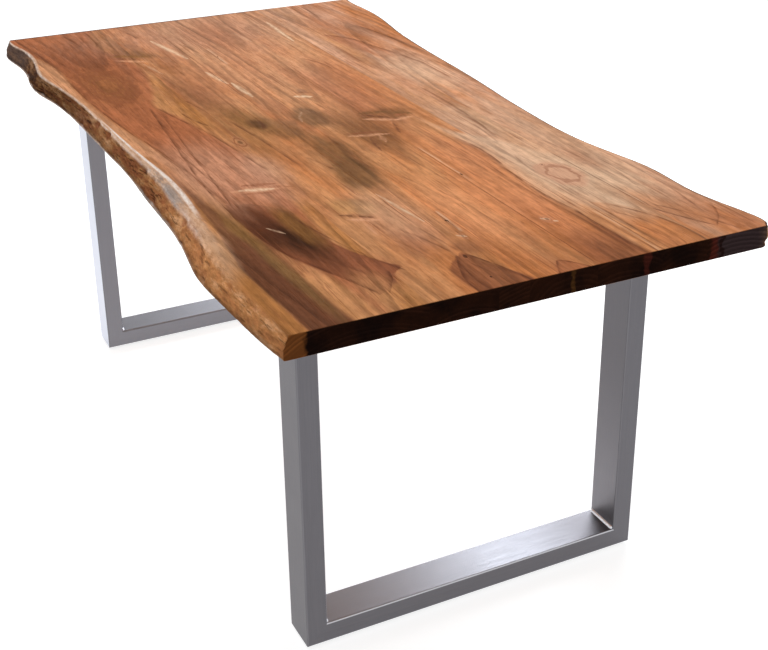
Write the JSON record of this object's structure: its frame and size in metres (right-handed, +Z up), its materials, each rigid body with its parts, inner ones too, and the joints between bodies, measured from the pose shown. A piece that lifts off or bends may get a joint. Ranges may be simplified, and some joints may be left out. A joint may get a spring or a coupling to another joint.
{
  "type": "live edge dining table",
  "caption": "Rectangular dining table with a solid wood top whose long sides keep their natural wavy edge, on two U-shaped frames of flat steel tube.",
  "frame": {"origin": "on the floor under the middle of the bounding box", "axes": "+X along the planks towards the near end, whose end grain is dark, +Z up, -Y towards the wider live-edge plank"},
  "size_m": [1.8, 0.9521, 0.76],
  "materials": {
    "plank_wood": "satin lacquer over warm brown figured hardwood",
    "live_edge_wood": "satin lacquer, rough natural edge left on",
    "frame_steel": "satin grey steel",
    "weld_steel": "bright fillet weld",
    "zinc_hardware": "zinc plated",
    "insert_brass": "machined",
    "pad_nylon": "black nylon"
  },
  "bodies": {
    "table": {"left_live_edge_plank": "live_edge_wood", "inner_plank_1": "plank_wood", "inner_plank_2": "plank_wood", "inner_plank_3": "plank_wood", "inner_plank_4": "plank_wood", "inner_plank_5": "plank_wood", "right_live_edge_plank": "live_edge_wood", "near_frame_left_upright": "frame_steel", "near_frame_right_upright": "frame_steel", "near_frame_floor_rail": "frame_steel", "near_frame_mounting_plate": "frame_steel", "near_frame_corner_welds": "weld_steel", "near_threaded_inserts": "insert_brass", "near_washers": "zinc_hardware", "near_machine_screws": "zinc_hardware", "near_rivet_nuts": "zinc_hardware", "far_frame_left_upright": "frame_steel", "far_frame_right_upright": "frame_steel", "far_frame_floor_rail": "frame_steel", "far_frame_mounting_plate": "frame_steel", "far_frame_corner_welds": "weld_steel", "far_threaded_inserts": "insert_brass", "far_washers": "zinc_hardware", "far_machine_screws": "zinc_hardware", "far_rivet_nuts": "zinc_hardware"},
    "near_left_glide": {"near_left_glide_stud": "zinc_hardware", "near_left_glide_pad": "pad_nylon"},
    "near_right_glide": {"near_right_glide_stud": "zinc_hardware", "near_right_glide_pad": "pad_nylon"},
    "far_left_glide": {"far_left_glide_stud": "zinc_hardware", "far_left_glide_pad": "pad_nylon"},
    "far_right_glide": {"far_right_glide_stud": "zinc_hardware", "far_right_glide_pad": "pad_nylon"}
  },
  "joints": [
    {"name": "near_left_glide_screw_travel", "type": "slide", "parent": "table", "child": "near_left_glide", "axis": [0, 0, -1], "range_m": [0, 0.01]},
    {"name": "near_right_glide_screw_travel", "type": "slide", "parent": "table", "child": "near_right_glide", "axis": [0, 0, -1], "range_m": [0, 0.01]},
    {"name": "far_left_glide_screw_travel", "type": "slide", "parent": "table", "child": "far_left_glide", "axis": [0, 0, -1], "range_m": [0, 0.01]},
    {"name": "far_right_glide_screw_travel", "type": "slide", "parent": "table", "child": "far_right_glide", "axis": [0, 0, -1], "range_m": [0, 0.01]}
  ]
}
